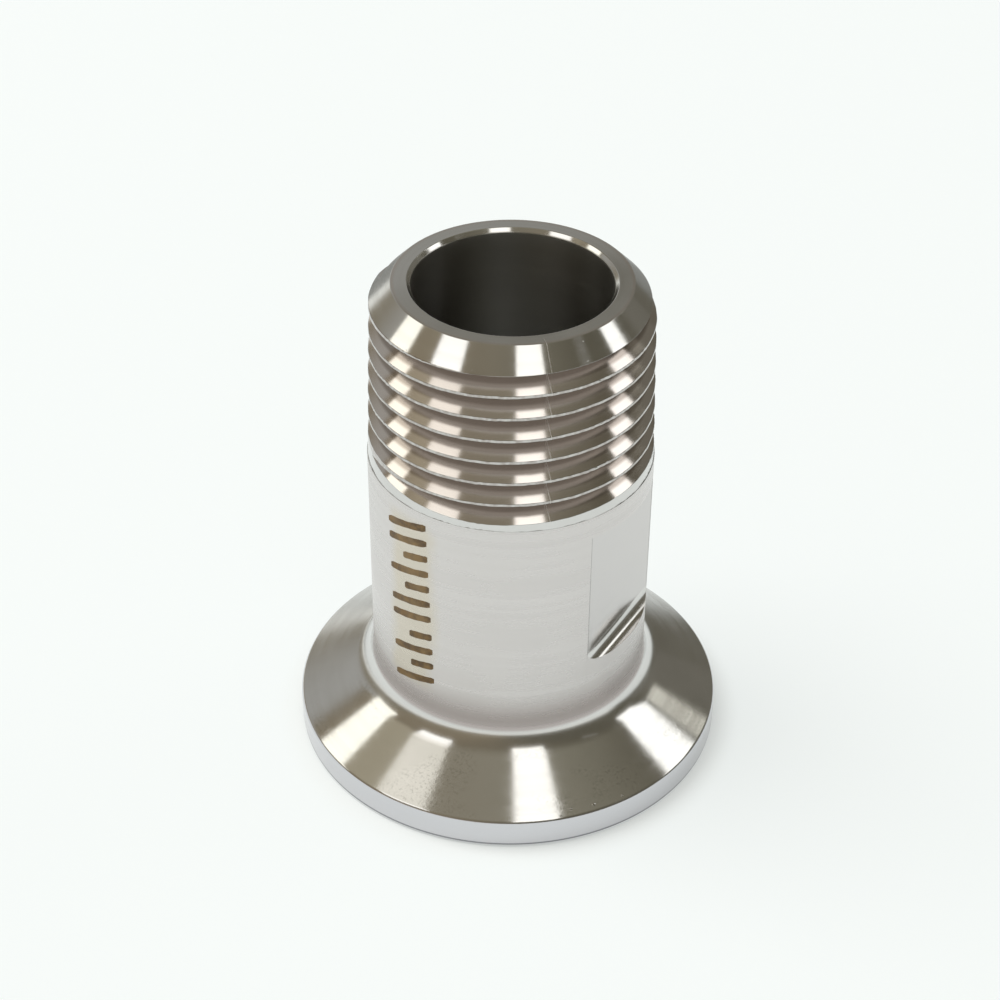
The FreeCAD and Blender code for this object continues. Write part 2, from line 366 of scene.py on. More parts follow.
def zip_up(faces, left, right):
    """Joins two neighbouring columns row by row, with triangles where one lacks a row."""
    where = {tag: j for j, (tag, _) in enumerate(right)}
    common = [(i, where[tag]) for i, (tag, _) in enumerate(left) if tag in where]
    common.append((len(left), len(right)))
    nl, nr = len(left), len(right)
    for (i0, j0), (i1, j1) in zip(common, common[1:]):
        i, j = i0, j0
        if i1 - i0 == 1 and j1 - j0 == 1:
            faces.append((left[i][1], right[j][1], right[j1 % nr][1], left[i1 % nl][1]))
            continue
        while i < i1 or j < j1:
            if i < i1 and (j >= j1 or (i + 1 - i0) / (i1 - i0) <= (j + 1 - j0) / (j1 - j0)):
                faces.append((left[i][1], right[j % nr][1], left[(i + 1) % nl][1]))
                i += 1
            else:
                faces.append((left[i % nl][1], right[j][1], right[(j + 1) % nr][1]))
                j += 1


def new_object(name, verts, faces):
    """A mesh object from points in mm."""
    mesh = bpy.data.meshes.new(name)
    mesh.from_pydata([(x * MM, y * MM, z * MM) for x, y, z in verts], [], faces)
    mesh.validate()
    obj = bpy.data.objects.new(name, mesh)
    bpy.context.scene.collection.objects.link(obj)
    return obj


def build_body(count):
    verts, normals, faces, columns = [], [], [], []
    angles = azimuths(count)
    for theta in angles:
        a = math.radians(theta)
        c, s = math.cos(a), math.sin(a)
        col = []
        for tag, r, z, n in column(theta):
            name = tag[0]
            if isinstance(name, tuple) and name[0] == "crest":
                out, up = crest_wear(name[1], theta)
                r, z = r + out, z + up
            col.append((tag, len(verts)))
            verts.append((r * c, r * s, z))
            normals.append(tuple(n) if isinstance(n, Vector) else (n[0] * c, n[0] * s, n[1]))
        columns.append(col)
    # the last column meets the first with the thread's turns counted on by one
    lower = shifted(column(angles[0]))
    seam = [(low[0], number) for low, (_, number) in zip(lower, columns[0])]
    for left, right in zip(columns, columns[1:] + [seam]):
        zip_up(faces, left, right)
    obj = new_object("turned_body", verts, faces)
    for p in obj.data.polygons:
        p.use_smooth = True
    obj.data.normals_split_custom_set_from_vertices(normals)
    return obj


body = build_body(COLUMNS)
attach(body, "root")
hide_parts("adapter_body")


# Etched marks: plain slanted bars of no meaning, in two groups up the left of the barrel
MARK_TURN = -102.5
MARK_LOW = 9.6
# how far, in degrees, the row of bars leans for each mm of height
MARK_LEAN = -0.2
# a full bar spans twice this many degrees, and its middle line rises by twice the slant
MARK_HALF = 10.6
MARK_SLANT = 0.55
MARK_OUT = 0.014
MARK_SUNK = 0.02
MARK_WIDTH = 0.62
MARK_STEP = 1.42
MARK_PIECES = 14
# how much of its width a bar keeps at its ends
MARK_END = 0.7
# height of a group's first bar, and how far each of its bars reaches, as shares of the full length
MARK_GROUPS = (
    (MARK_LOW, (1.0, 0.55, 1.0, 0.55)),
    (15.6, (1.0, 1.0, 0.6, 1.0, 0.6, 1.0, 1.0)),
)


def add_bar(verts, faces, low, reach, seed):
    """One etched bar laid round the barrel, a thin plate with uneven edges."""
    first = len(verts)
    middle = MARK_TURN + MARK_LEAN * (low - MARK_LOW)
    for i in range(MARK_PIECES + 1):
        t = i / MARK_PIECES
        across = MARK_HALF * (1 - 2 * reach * t)
        a = math.radians(middle + across)
        rise = low + MARK_SLANT * across / MARK_HALF
        ragged = 0.05 * math.sin(seed + 9 * t) + 0.035 * math.sin(2 * seed + 23 * t)
        half = MARK_WIDTH / 2 * (1 + ragged) * (MARK_END if i in (0, MARK_PIECES) else 1.0)
        for out, side in ((-MARK_SUNK, -1), (MARK_OUT, -1), (MARK_OUT, 1), (-MARK_SUNK, 1)):
            radius = BARREL + out
            verts.append((radius * math.cos(a), radius * math.sin(a), rise + side * half))
    for i in range(MARK_PIECES):
        p = first + 4 * i
        for j in range(4):
            k = (j + 1) % 4
            faces.append((p + j, p + k, p + 4 + k, p + 4 + j))
    faces.append((first, first + 3, first + 2, first + 1))
    last = first + 4 * MARK_PIECES
    faces.append((last, last + 1, last + 2, last + 3))


def build_marks():
    verts, faces = [], []
    for low, reaches in MARK_GROUPS:
        for i, reach in enumerate(reaches):
            add_bar(verts, faces, low + i * MARK_STEP, reach, low + 1.7 * i)
    return new_object("etched_marks", verts, faces)


marks = build_marks()
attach(marks, "root")


# Burrs and small raised nicks left by the tools
# a burr's shape, in shares of its size: reach and height of its rings, its two points, and its narrow width
BURR_CORNERS = 7
BURR_RINGS = ((1.0, -0.25), (0.75, 0.35))
BURR_BELOW, BURR_ABOVE = 0.3, 0.6
BURR_NARROW = 0.6
# how far a burr's middle lies off its crest or edge, mm
BURR_OFF = 0.02
# the burrs on the crests: azimuth, how far they sway from it, number, sizes of every other one
BURR_TURN, BURR_SWAY = -24.5, 1.2
BURR_CRESTS = 6
BURR_SIZES = (0.09, 0.12)
# nicks on the cone: azimuth, radius, size
CONE_NICKS = ((-43.0, 16.4, 0.17), (-36.5, 16.5, 0.19), (-46.0, 16.75, 0.15), (-28.0, 16.6, 0.14))
# nicks on the nose bevel: azimuth, height, size
BEVEL_NICKS = ((-29.5, 39.2, 0.09), (-28.0, 40.2, 0.07), (-106.0, 39.0, 0.06), (-76.0, 39.1, 0.05))
# burrs along a wrench flat's upper edge: number, share of the edge, and size with its unevenness
FLAT_BURRS, FLAT_BURR_REACH = 17, 0.97
FLAT_BURR_SIZE, FLAT_BURR_UNEVEN = 0.045, 0.02


def around(radius, angle, z):
    """The point at a radius, an azimuth in radians and a height."""
    return Vector((radius * math.cos(angle), radius * math.sin(angle), z))


def add_burr(verts, faces, place, out, size, seed):
    """One small uneven lump, sunk a little into the surface that it stands on."""
    count = BURR_CORNERS
    up = Vector(out).normalized()
    side = up.cross(Vector((0, 0, 1))).normalized()
    other = up.cross(side)
    first = len(verts)
    for share, height in BURR_RINGS:
        for i in range(count):
            a = 2 * math.pi * i / count
            reach = size * share * (1 + 0.3 * math.sin(3 * a + seed) + 0.2 * math.sin(5 * a + 2 * seed))
            spot = place + side * (reach * math.cos(a)) + other * (BURR_NARROW * reach * math.sin(a))
            verts.append(tuple(spot + up * (height * size)))
    verts.append(tuple(place - up * (BURR_BELOW * size)))
    verts.append(tuple(place + up * (BURR_ABOVE * size)))
    foot_point, top_point = len(verts) - 2, len(verts) - 1
    for i in range(count):
        j = (i + 1) % count
        faces.append((first + i, first + j, first + count + j, first + count + i))
        faces.append((first + j, first + i, foot_point))
        faces.append((first + count + i, first + count + j, top_point))


def crest_burrs(verts, faces):
    """A burr on each crest, one above the other."""
    t = (BURR_TURN - START_TURN) / 360
    for k in range(BURR_CRESTS):
        z = START_Z + PITCH * (t + k + 0.5)
        a = math.radians(BURR_TURN + BURR_SWAY * math.sin(5.0 * k))
        place = around(blank(z) - BURR_OFF, a, z)
        add_burr(verts, faces, place, around(1, a, 0.2), BURR_SIZES[k % 2], 1.3 * k)


def nicks(verts, faces):
    """Nicks on the cone near the rim, and on the nose bevel."""
    for degrees, r, size in CONE_NICKS:
        a = math.radians(degrees)
        z = RIM_TOP + (FLANGE - r) * math.tan(CONE)
        add_burr(verts, faces, around(r, a, z), around(math.sin(CONE), a, math.cos(CONE)), size, 40 + degrees)
    for degrees, z, size in BEVEL_NICKS:
        a = math.radians(degrees)
        add_burr(verts, faces, around(NOSE_RING + TOP - z, a, z), around(1, a, 1.0), size, degrees)


def flat_burrs(verts, faces):
    """The milling cutter's burr along the upper edge of each wrench flat."""
    for middle in (0, 180):
        for i in range(FLAT_BURRS):
            a = math.radians(middle + FLAT_EDGE * (2 * i / (FLAT_BURRS - 1) - 1) * FLAT_BURR_REACH)
            r = FLAT_X / math.cos(a - math.radians(middle)) + BURR_OFF
            z = FLAT_HIGH + BURR_OFF * math.sin(7.0 * i)
            size = FLAT_BURR_SIZE + FLAT_BURR_UNEVEN * math.sin(3.0 * i)
            add_burr(verts, faces, around(r, a, z), around(1, a, -0.4), size, i)


def build_burrs():
    verts, faces = [], []
    crest_burrs(verts, faces)
    nicks(verts, faces)
    flat_burrs(verts, faces)
    return new_object("tool_burrs", verts, faces)


burrs = build_burrs()
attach(burrs, "root")


# Node helpers
class Graph:
    """Small helper that adds nodes and links to a tree."""

    def __init__(self, tree):
        self.tree = tree
        tree.nodes.clear()

    def node(self, kind, **values):
        n = self.tree.nodes.new(kind)
        for key, v in values.items():
            setattr(n, key, v)
        return n

    def put(self, socket, value):
        if isinstance(value, bpy.types.NodeSocket):
            self.tree.links.new(value, socket)
        else:
            socket.default_value = value

    def math(self, op, a, b=None, c=None):
        n = self.node("ShaderNodeMath", operation=op)
        for socket, v in zip(n.inputs, (a, b, c)):
            if v is not None:
                self.put(socket, v)
        return n.outputs[0]

    def product(self, *values):
        result = values[0]
        for v in values[1:]:
            result = self.math("MULTIPLY", result, v)
        return result

    def length(self, x, y):
        return self.math("SQRT", self.math("ADD", self.product(x, x), self.product(y, y)))

    def ramp(self, value, low, high, to_low=0.0, to_high=1.0):
        n = self.node("ShaderNodeMapRange", interpolation_type="SMOOTHSTEP")
        self.put(n.inputs["Value"], value)
        self.put(n.inputs["From Min"], low)
        self.put(n.inputs["From Max"], high)
        self.put(n.inputs["To Min"], to_low)
        self.put(n.inputs["To Max"], to_high)
        return n.outputs["Result"]

    def above(self, value, edge, soft):
        """0 below the edge and 1 above it, over the soft width on either side."""
        return self.ramp(value, edge - soft, edge + soft)

    def below(self, value, edge, soft):
        """1 below the edge and 0 above it, over the soft width on either side."""
        return self.ramp(value, edge - soft, edge + soft, 1.0, 0.0)

    def band(self, value, low, high, soft):
        """1 between low and high, falling to 0 over a soft edge outside either."""
        return self.product(self.ramp(value, low - soft, low), self.ramp(value, high, high + soft, 1.0, 0.0))

    def dot(self, a, b):
        n = self.node("ShaderNodeVectorMath", operation="DOT_PRODUCT")
        self.put(n.inputs[0], a)
        self.put(n.inputs[1], b)
        return n.outputs["Value"]

    def mix(self, factor, a, b):
        n = self.node("ShaderNodeMix", data_type="RGBA")
        self.put(n.inputs[0], factor)
        self.put(n.inputs[6], a)
        self.put(n.inputs[7], b)
        return n.outputs[2]

    def coord(self, kind="Object"):
        """The object's own coordinates, in metres, or another kind of coordinates."""
        return self.node("ShaderNodeTexCoord").outputs[kind]

    def parts(self, vector):
        n = self.node("ShaderNodeSeparateXYZ")
        self.put(n.inputs[0], vector)
        return n.outputs

    def vector(self, x, y, z):
        n = self.node("ShaderNodeCombineXYZ")
        for socket, v in zip(n.inputs, (x, y, z)):
            self.put(socket, v)
        return n.outputs[0]

    def noise(self, vector, scale, detail=2.0, rough=0.5):
        n = self.node("ShaderNodeTexNoise")
        self.put(n.inputs["Vector"], vector)
        self.put(n.inputs["Scale"], scale)
        self.put(n.inputs["Detail"], detail)
        self.put(n.inputs["Roughness"], rough)
        return n.outputs["Fac"]

    def bump(self, height, distance, strength, normal=None):
        n = self.node("ShaderNodeBump")
        self.put(n.inputs["Strength"], strength)
        self.put(n.inputs["Distance"], distance)
        self.put(n.inputs["Height"], height)
        if normal is not None:
            self.put(n.inputs["Normal"], normal)
        return n.outputs[0]


def new_material(name):
    """A material with an empty tree and one Principled shader on its output."""
    mat = bpy.data.materials.new(name)
    mat.use_nodes = True
    g = Graph(mat.node_tree)
    out = g.node("ShaderNodeOutputMaterial")
    bsdf = g.node("ShaderNodeBsdfPrincipled")
    g.tree.links.new(bsdf.outputs[0], out.inputs[0])
    return mat, g, bsdf, out


# Turned steel
STEEL_PALE = (0.69, 0.683, 0.668, 1)
STEEL_DEEP = (0.655, 0.648, 0.632, 1)
LINE_TONE = (0.61, 0.595, 0.575, 1)
BARREL_TONE = (0.70, 0.668, 0.655, 1)
# painted shade: the barrel's foot is darkened where it meets the flange, in place of the dark reflection of
# the cone and the shadow round it
FOOT_SHADE_TONE = (0.45, 0.405, 0.39, 1)
RIM_TONE = (0.63, 0.628, 0.652, 1)
# painted contact shadow along the rim's lowest edge
RIM_CONTACT_SHADOW = (0.22, 0.22, 0.24, 1)
FLAT_TONE = (0.605, 0.585, 0.575, 1)
FLAT_EDGE_TONE = (0.30, 0.29, 0.28, 1)
SPECKLE_TONE = (0.36, 0.35, 0.32, 1)
HEAT_TINT = (0.66, 0.59, 0.45, 1)
FLANK_TONE = (0.66, 0.615, 0.585, 1)
# painted shade deep in the thread's groove
GROOVE_SHADE_TONE = (0.38, 0.335, 0.305, 1)
CREST_TONE = (0.42, 0.385, 0.36, 1)
# the scratch is a real mark, drawn lighter as a painted glint along it
SCRATCH_AND_GLINT_TONE = (0.85, 0.83, 0.80, 1)
# painted shade inside the bore
BORE_SHADE_TONE = (0.40, 0.395, 0.375, 1)
# azimuths of the straight scratch down the thread and of the heat tint round the etched marks
SCRATCH_TURN = -45.0
TINT_TURN = MARK_TURN - 1.5
# depths of tool lines and of grain, metres
LINE_DEPTH = 0.000004
GRAIN_DEPTH = 0.000006
# edges of places on the turned body: where each lies, and how soft it is to either side, mm
CONE_HIGH, CONE_IN = (7.0, 0.5), (11.85, 0.35)
BARE_OUT = (FLANGE - 0.3, 0.1)
RIM_IN = (FLANGE - 0.09, 0.03)
# where the painted contact shadow on the rim's lowest edge lies
RIM_SHADOW_IN, RIM_SHADOW_HIGH = (FLANGE - FACE_BEVEL, 0.02), (0.43, 0.07)
BORE_OUT = (BORE + 0.05, 0.05)
BARREL_IN, BARREL_OUT = (BARREL - 0.02, 0.01), (BARREL + 0.12, 0.05)
# height up to which the barrel's foot carries painted shade
FOOT_SHADE_HIGH = (8.9, 1.5)
PLANE_OFF, FLAT_IN, LONG_EDGE_OUT = (0.0015, 0.0005), (9.1, 0.1), (4.87, 0.03)
THREAD_LOW, THREAD_IN = (26.1, 0.1), (8.65, 0.15)
FLANK_DEEP, GROOVE_SHADE_DEEP = (0.045, 0.015), (0.55, 0.13)
CREST_DEEP, CREST_IN, CREST_LOW = (0.03, 0.01), (10.44, 0.01), (27.4, 0.2)
SCRATCH_OUT, SCRATCH_LOW = (8.25, 0.25), (26.4, 0.2)
TINT_OUT, TINT_IN = (8.5, 0.5), (BARREL - 0.1, 0.05)
# bands on the turned body: from, to, and how soft either edge is outside that, mm
SATIN_BAND = (7.0, STEP_Z - 0.1, 0.2)
FLAT_BAND = (FLAT_LOW + 0.55, FLAT_HIGH, 0.2)
SCRATCH_BAND = (-0.01, 0.01, 0.03)
TINT_ACROSS, TINT_BAND = (-1.4, 1.4, 1.4), (10.0, 24.0, 1.6)


class SteelPlaces:
    """Masks, 0 to 1, of places on the turned body, worked out in mm, and noises worked out in metres."""

    def __init__(self, g):
        self.coord = g.coord()
        x, y, z = g.parts(self.coord)
        radius = g.length(x, y)
        # tool lines run round the axis: they change with radius and height only
        self.lines = g.vector(radius, 0.0, z)
        self.cloud = g.noise(self.coord, 160.0, 3.0, 0.55)
        self.grain = g.noise(self.coord, 2400.0, 3.0, 0.7)
        self.wide = g.noise(self.lines, 1500.0, 2.0, 0.5)
        self.patchy = g.ramp(g.noise(self.coord, 220.0, 2.0, 0.5), 0.50, 0.62)
        x, y, z, radius = (g.product(v, 1 / MM) for v in (x, y, z, radius))
        self.turned(g, z, radius)
        self.milled(g, x, y, z, radius)
        self.threaded(g, z, radius)
        self.tinted(g, z, radius)

    def turned(self, g, z, radius):
        """Cone, rim, bore and barrel."""
        self.cone = g.product(g.below(z, *CONE_HIGH), g.above(radius, *CONE_IN))
        self.bare_cone = g.product(self.cone, g.below(radius, *BARE_OUT))
        self.rim = g.above(radius, *RIM_IN)
        # the rim's lowest edge, where a contact shadow is painted
        self.rim_contact_shadow = g.product(g.above(radius, *RIM_SHADOW_IN), g.below(z, *RIM_SHADOW_HIGH))
        self.bore = g.below(radius, *BORE_OUT)
        self.barrel = g.product(g.above(radius, *BARREL_IN), g.below(radius, *BARREL_OUT))
        # the barrel's foot, where painted shade is laid
        self.foot = g.product(self.barrel, g.below(z, *FOOT_SHADE_HIGH))
        self.satin = g.product(self.barrel, g.band(z, *SATIN_BAND))

    def milled(self, g, x, y, z, radius):
        """The wrench flats' planes, and a strip along their long edges."""
        off_plane = g.math("ABSOLUTE", g.math("SUBTRACT", g.math("ABSOLUTE", x), FLAT_X))
        plane = g.product(g.below(off_plane, *PLANE_OFF), g.above(radius, *FLAT_IN))
        self.flat = g.product(plane, g.band(z, *FLAT_BAND))
        self.flat_edge = g.product(self.flat, g.above(g.math("ABSOLUTE", y), *LONG_EDGE_OUT))

    def threaded(self, g, z, radius):
        """Flanks, roots and crests, by depth below crest line and nose bevel, and the scratch across them;
        the root mask carries painted shade deep in the groove.
        """
        crest_line = g.math("MULTIPLY_ADD", z, -TAPER, CREST_TOP + TOP * TAPER)
        bevel_line = g.math("SUBTRACT", NOSE_RING + TOP, z)
        depth = g.math("SUBTRACT", g.math("MINIMUM", crest_line, bevel_line), radius)
        thread = g.product(g.above(z, *THREAD_LOW), g.above(radius, *THREAD_IN))
        self.flank = g.product(g.above(depth, *FLANK_DEEP), thread)
        # deeper than this in the groove the steel gets painted shade
        self.root = g.product(g.above(depth, *GROOVE_SHADE_DEEP), thread)
        crest = g.product(g.below(depth, *CREST_DEEP), thread, g.above(radius, *CREST_IN))
        self.crest = g.product(crest, g.above(z, *CREST_LOW))
        across, out = self.across_and_out(g, SCRATCH_TURN)
        line = g.product(g.band(across, *SCRATCH_BAND), g.above(out, *SCRATCH_OUT))
        self.scratch = g.product(line, g.above(z, *SCRATCH_LOW))

    def tinted(self, g, z, radius):
        """The heat tint, with a cloudy edge."""
        across, out = self.across_and_out(g, TINT_TURN)
        across = g.math("ADD", across, g.ramp(self.cloud, 0.3, 0.7, -0.5, 0.5))
        tint = g.product(g.band(across, *TINT_ACROSS), g.band(z, *TINT_BAND))
        self.tint = g.product(tint, g.above(out, *TINT_OUT), g.above(radius, *TINT_IN))

    def across_and_out(self, g, degrees):
        """Distances across and along the outward direction at an azimuth."""
        a = math.radians(degrees)
        across = g.dot(self.coord, (-math.sin(a), math.cos(a), 0.0))
        out = g.dot(self.coord, (math.cos(a), math.sin(a), 0.0))
        return g.product(across, 1 / MM), g.product(out, 1 / MM)


def steel_tone(g, at):
    """Base colour: steel, tinted from place to place, with painted shade at the barrel's foot, on the rim's
    lowest edge, deep in the groove and in the bore, and a painted glint on the scratch.
    """
    tone = g.mix(g.ramp(at.cloud, 0.35, 0.65), STEEL_DEEP, STEEL_PALE)
    specks = g.product(g.ramp(g.noise(at.coord, 5200.0, 2.0, 0.6), 0.50, 0.70), at.patchy)
    crest_patches = g.ramp(at.grain, 0.35, 0.65, 0.35, 0.95)
    layers = (
        (g.product(g.ramp(at.wide, 0.40, 0.60), 0.06), LINE_TONE),
        (g.product(at.barrel, 0.7), BARREL_TONE),
        # painted shade on the barrel's foot
        (g.product(at.foot, 0.95), FOOT_SHADE_TONE),
        (at.rim, RIM_TONE),
        # painted contact shadow along the rim's lowest edge
        (at.rim_contact_shadow, RIM_CONTACT_SHADOW),
        (at.flat, FLAT_TONE),
        (g.product(at.flat_edge, 0.7), FLAT_EDGE_TONE),
        (g.product(at.bare_cone, specks, 0.35), SPECKLE_TONE),
        (g.product(at.tint, 0.55), HEAT_TINT),
        (at.flank, FLANK_TONE),
        # painted shade deep in the groove
        (at.root, GROOVE_SHADE_TONE),
        # crests darker, in patches following the grain
        (g.product(at.crest, crest_patches), CREST_TONE),
        # the scratch, with a painted glint along it
        (g.product(at.scratch, 0.6), SCRATCH_AND_GLINT_TONE),
        # painted shade inside the bore
        (at.bore, BORE_SHADE_TONE),
    )
    for share, colour in layers:
        tone = g.mix(share, tone, colour)
    return tone


def steel_roughness(g, at):
    """Polished where it was turned, duller in the bore, in the scratch and on the satin barrel."""
    rough = g.math("ADD", g.ramp(at.wide, 0.3, 0.7, 0.115, 0.155), g.ramp(at.cloud, 0.3, 0.7, -0.01, 0.02))
    for place, more in ((at.bore, 0.22), (at.scratch, 0.20), (at.satin, 0.13)):
        rough = g.math("ADD", rough, g.product(place, more))
    return rough


def steel_normal(g, at):
    """Fine tool lines off the barrel, coarser ones on the cone, and grain in patches."""
    fine = g.noise(at.lines, 3600.0, 2.0, 0.5)
    normal = g.bump(fine, LINE_DEPTH, g.ramp(at.barrel, 0.0, 1.0, 0.22, 0.0))
    coarse = g.noise(at.lines, 2600.0, 1.0, 0.4)
    normal = g.bump(coarse, LINE_DEPTH, g.product(at.cone, 0.5), normal)
    return g.bump(at.grain, GRAIN_DEPTH, g.product(at.patchy, g.ramp(at.cone, 0.0, 1.0, 0.06, 0.55)), normal)


def turned_steel():
    mat, g, bsdf, _ = new_material("turned_steel")
    bsdf.inputs["Metallic"].default_value = 1.0
    bsdf.inputs["Anisotropic"].default_value = 0.88
    bsdf.inputs["Anisotropic Rotation"].default_value = 0.25
    tangent = g.node("ShaderNodeTangent", direction_type="RADIAL", axis="Z")
    g.put(bsdf.inputs["Tangent"], tangent.outputs[0])
    at = SteelPlaces(g)
    g.put(bsdf.inputs["Base Color"], steel_tone(g, at))
    g.put(bsdf.inputs["Roughness"], steel_roughness(g, at))
    g.put(bsdf.inputs["Normal"], steel_normal(g, at))
    return mat


# Etching and burrs
ETCHED_DARK, ETCHED_PALE = (0.10, 0.060, 0.024, 1), (0.205, 0.128, 0.052, 1)
ETCHED_WORN = (0.31, 0.21, 0.095, 1)
BURR_DARK, BURR_PALE = (0.62, 0.61, 0.59, 1), (0.76, 0.75, 0.73, 1)
ROUGH_DEPTH = 0.00001


def etched_brown():
    mat, g, bsdf, _ = new_material("etched_brown")
    bsdf.inputs["Metallic"].default_value = 0.3
    coord = g.coord()
    burnt = g.noise(coord, 1900.0, 3.0, 0.65)
    wide = g.noise(coord, 420.0, 2.0, 0.5)
    tone = g.mix(g.ramp(burnt, 0.35, 0.65), ETCHED_DARK, ETCHED_PALE)
    tone = g.mix(g.product(g.ramp(wide, 0.45, 0.65), 0.5), tone, ETCHED_WORN)
    g.put(bsdf.inputs["Base Color"], tone)
    g.put(bsdf.inputs["Roughness"], g.ramp(burnt, 0.3, 0.7, 0.42, 0.62))
    g.put(bsdf.inputs["Normal"], g.bump(burnt, ROUGH_DEPTH, 0.5))
    return mat


def burr_steel():
    mat, g, bsdf, _ = new_material("burr_steel")
    bsdf.inputs["Metallic"].default_value = 1.0
    grain = g.noise(g.coord(), 5200.0, 2.0, 0.6)
    g.put(bsdf.inputs["Base Color"], g.mix(g.ramp(grain, 0.35, 0.65), BURR_DARK, BURR_PALE))
    g.put(bsdf.inputs["Roughness"], g.ramp(grain, 0.3, 0.7, 0.14, 0.30))
    g.put(bsdf.inputs["Normal"], g.bump(grain, ROUGH_DEPTH, 0.4))
    return mat


body.data.materials.append(turned_steel())
marks.data.materials.append(etched_brown())
burrs.data.materials.append(burr_steel())


# Room
VIEW = math.radians(29.5)
RIGHT = (math.cos(VIEW), math.sin(VIEW), 0.0)
AWAY = (-math.sin(VIEW), math.cos(VIEW), 0.0)
# the least height over the horizon that counts when a direction is carried up to the ceiling
HORIZON = 0.03
# how soft the edges of the ceiling's light panels are
SOFT = 0.012
# ceiling light panels: corners as seen from the object, rightward and away for each unit up, tint, strength
PANELS = [
    ([(-0.66, 0.44), (-1.75, -0.04), (-2.30, 0.70), (-0.86, 0.66)], (1.0, 0.98, 0.88), 1.75),
    ([(-0.28, 0.12), (-0.43, -0.18), (-0.69, 0.05), (-0.48, 0.27)], (1.0, 0.965, 0.86), 1.0),
    ([(-0.43, -0.18), (-0.52, -0.36), (-0.86, -0.13), (-0.69, 0.05)], (1.0, 0.965, 0.89), 1.4),
    ([(-0.52, -0.36), (-0.75, -0.78), (-1.20, -0.48), (-0.86, -0.13)], (1.0, 0.99, 0.96), 1.7),
    ([(0.03, 0.02), (0.06, -0.92), (0.47, -0.86), (0.20, 0.02)], (1.0, 0.985, 0.94), 1.72),
    ([(0.92, -0.20), (0.92, -0.50), (0.96, -0.50), (0.96, -0.20)], (1.0, 0.99, 0.95), 0.6),
    ([(0.66, 0.38), (1.70, -0.08), (2.04, 0.36), (0.88, 0.80)], (1.0, 1.0, 0.97), 1.75),
    ([(1.02, 0.80), (1.26, 0.78), (1.46, 1.12), (1.20, 1.18)], (1.0, 0.985, 0.88), 1.08),
]
# the room's other colours, by where they lie as seen from the object
NEAR_LEFT, NEAR_RIGHT = (0.33, 0.30, 0.235, 1), (0.27, 0.26, 0.205, 1)
FAR_LEFT, FAR_RIGHT = (0.29, 0.245, 0.175, 1), (0.13, 0.12, 0.09, 1)
OVER_BACK = (0.19, 0.18, 0.15, 1)
BACK_LEFT, BACK_MIDDLE, BACK_RIGHT = (0.27, 0.24, 0.18, 1), (0.46, 0.46, 0.44, 1), (0.16, 0.15, 0.12, 1)
PALE_STRETCH = (0.62, 0.57, 0.43, 1)
WHITE_WALL = (1.08, 1.09, 1.04, 1)
BACKGROUND = (0.93, 0.97, 0.96, 1)
# from where to where one colour of the room passes into the next, on the ceiling for each unit up
NEAR_PASS, FAR_PASS, OUT_PASS, OVER_BACK_PASS = (-0.8, 0.9), (-1.6, 1.3), (0.15, 1.0), (0.7, 1.5)
BACK_RIGHT_PASS, BACK_LEFT_PASS, BACK_PASS = (0.3, 2.2), (-3.5, -1.2), (1.64, 1.84)
# how far the line behind which the back starts leans
BACK_LEAN = -0.6
# a paler stretch between the two left panels: its bands across and away, and its share
PALE_ACROSS, PALE_AWAY, PALE_SHARE = (-0.95, -0.55, 0.2), (0.0, 0.3, 0.2), 0.55
# the white wall ends at this height over the horizon, and where this sum of away and right grows
WALL_PASS = (0.045, 0.12)
DARK_AWAY, DARK_RIGHT, DARK_PASS = 0.75, 0.66, (0.45, 0.65)


def ceiling(g, u, v):
    """The ceiling between its panels: warm and pale overhead, darker further out and to the right."""
    near = g.mix(g.ramp(u, *NEAR_PASS), NEAR_LEFT, NEAR_RIGHT)
    far = g.mix(g.ramp(u, *FAR_PASS), FAR_LEFT, FAR_RIGHT)
    colour = g.mix(g.ramp(g.length(u, v), *OUT_PASS), near, far)
    colour = g.mix(g.ramp(v, *OVER_BACK_PASS), colour, OVER_BACK)
    behind = g.mix(g.ramp(u, *BACK_RIGHT_PASS), BACK_MIDDLE, BACK_RIGHT)
    behind = g.mix(g.ramp(u, *BACK_LEFT_PASS, 1.0, 0.0), behind, BACK_LEFT)
    colour = g.mix(g.ramp(g.math("MULTIPLY_ADD", u, BACK_LEAN, v), *BACK_PASS), colour, behind)
    pale = g.product(g.band(u, *PALE_ACROSS), g.band(v, *PALE_AWAY), PALE_SHARE)
    return g.mix(pale, colour, PALE_STRETCH)


def side(g, u, v, p, q):
    """1 on the left of the line from p to q, 0 on its right, over a soft band."""
    ex, ey = q[0] - p[0], q[1] - p[1]
    length = math.hypot(ex, ey)
    nx, ny = -ey / length, ex / length
    offset = g.math("MULTIPLY_ADD", v, ny, -(nx * p[0] + ny * p[1]))
    return g.ramp(g.math("MULTIPLY_ADD", u, nx, offset), -SOFT, SOFT)


def panel(g, u, v, corners):
    """1 on a four-sided patch of the ceiling and 0 off it, its corners in either order."""
    area = sum(p[0] * q[1] - q[0] * p[1] for p, q in zip(corners, corners[1:] + corners[:1]))
    if area < 0:
        corners = corners[::-1]
    return g.product(*[side(g, u, v, p, q) for p, q in zip(corners, corners[1:] + corners[:1])])


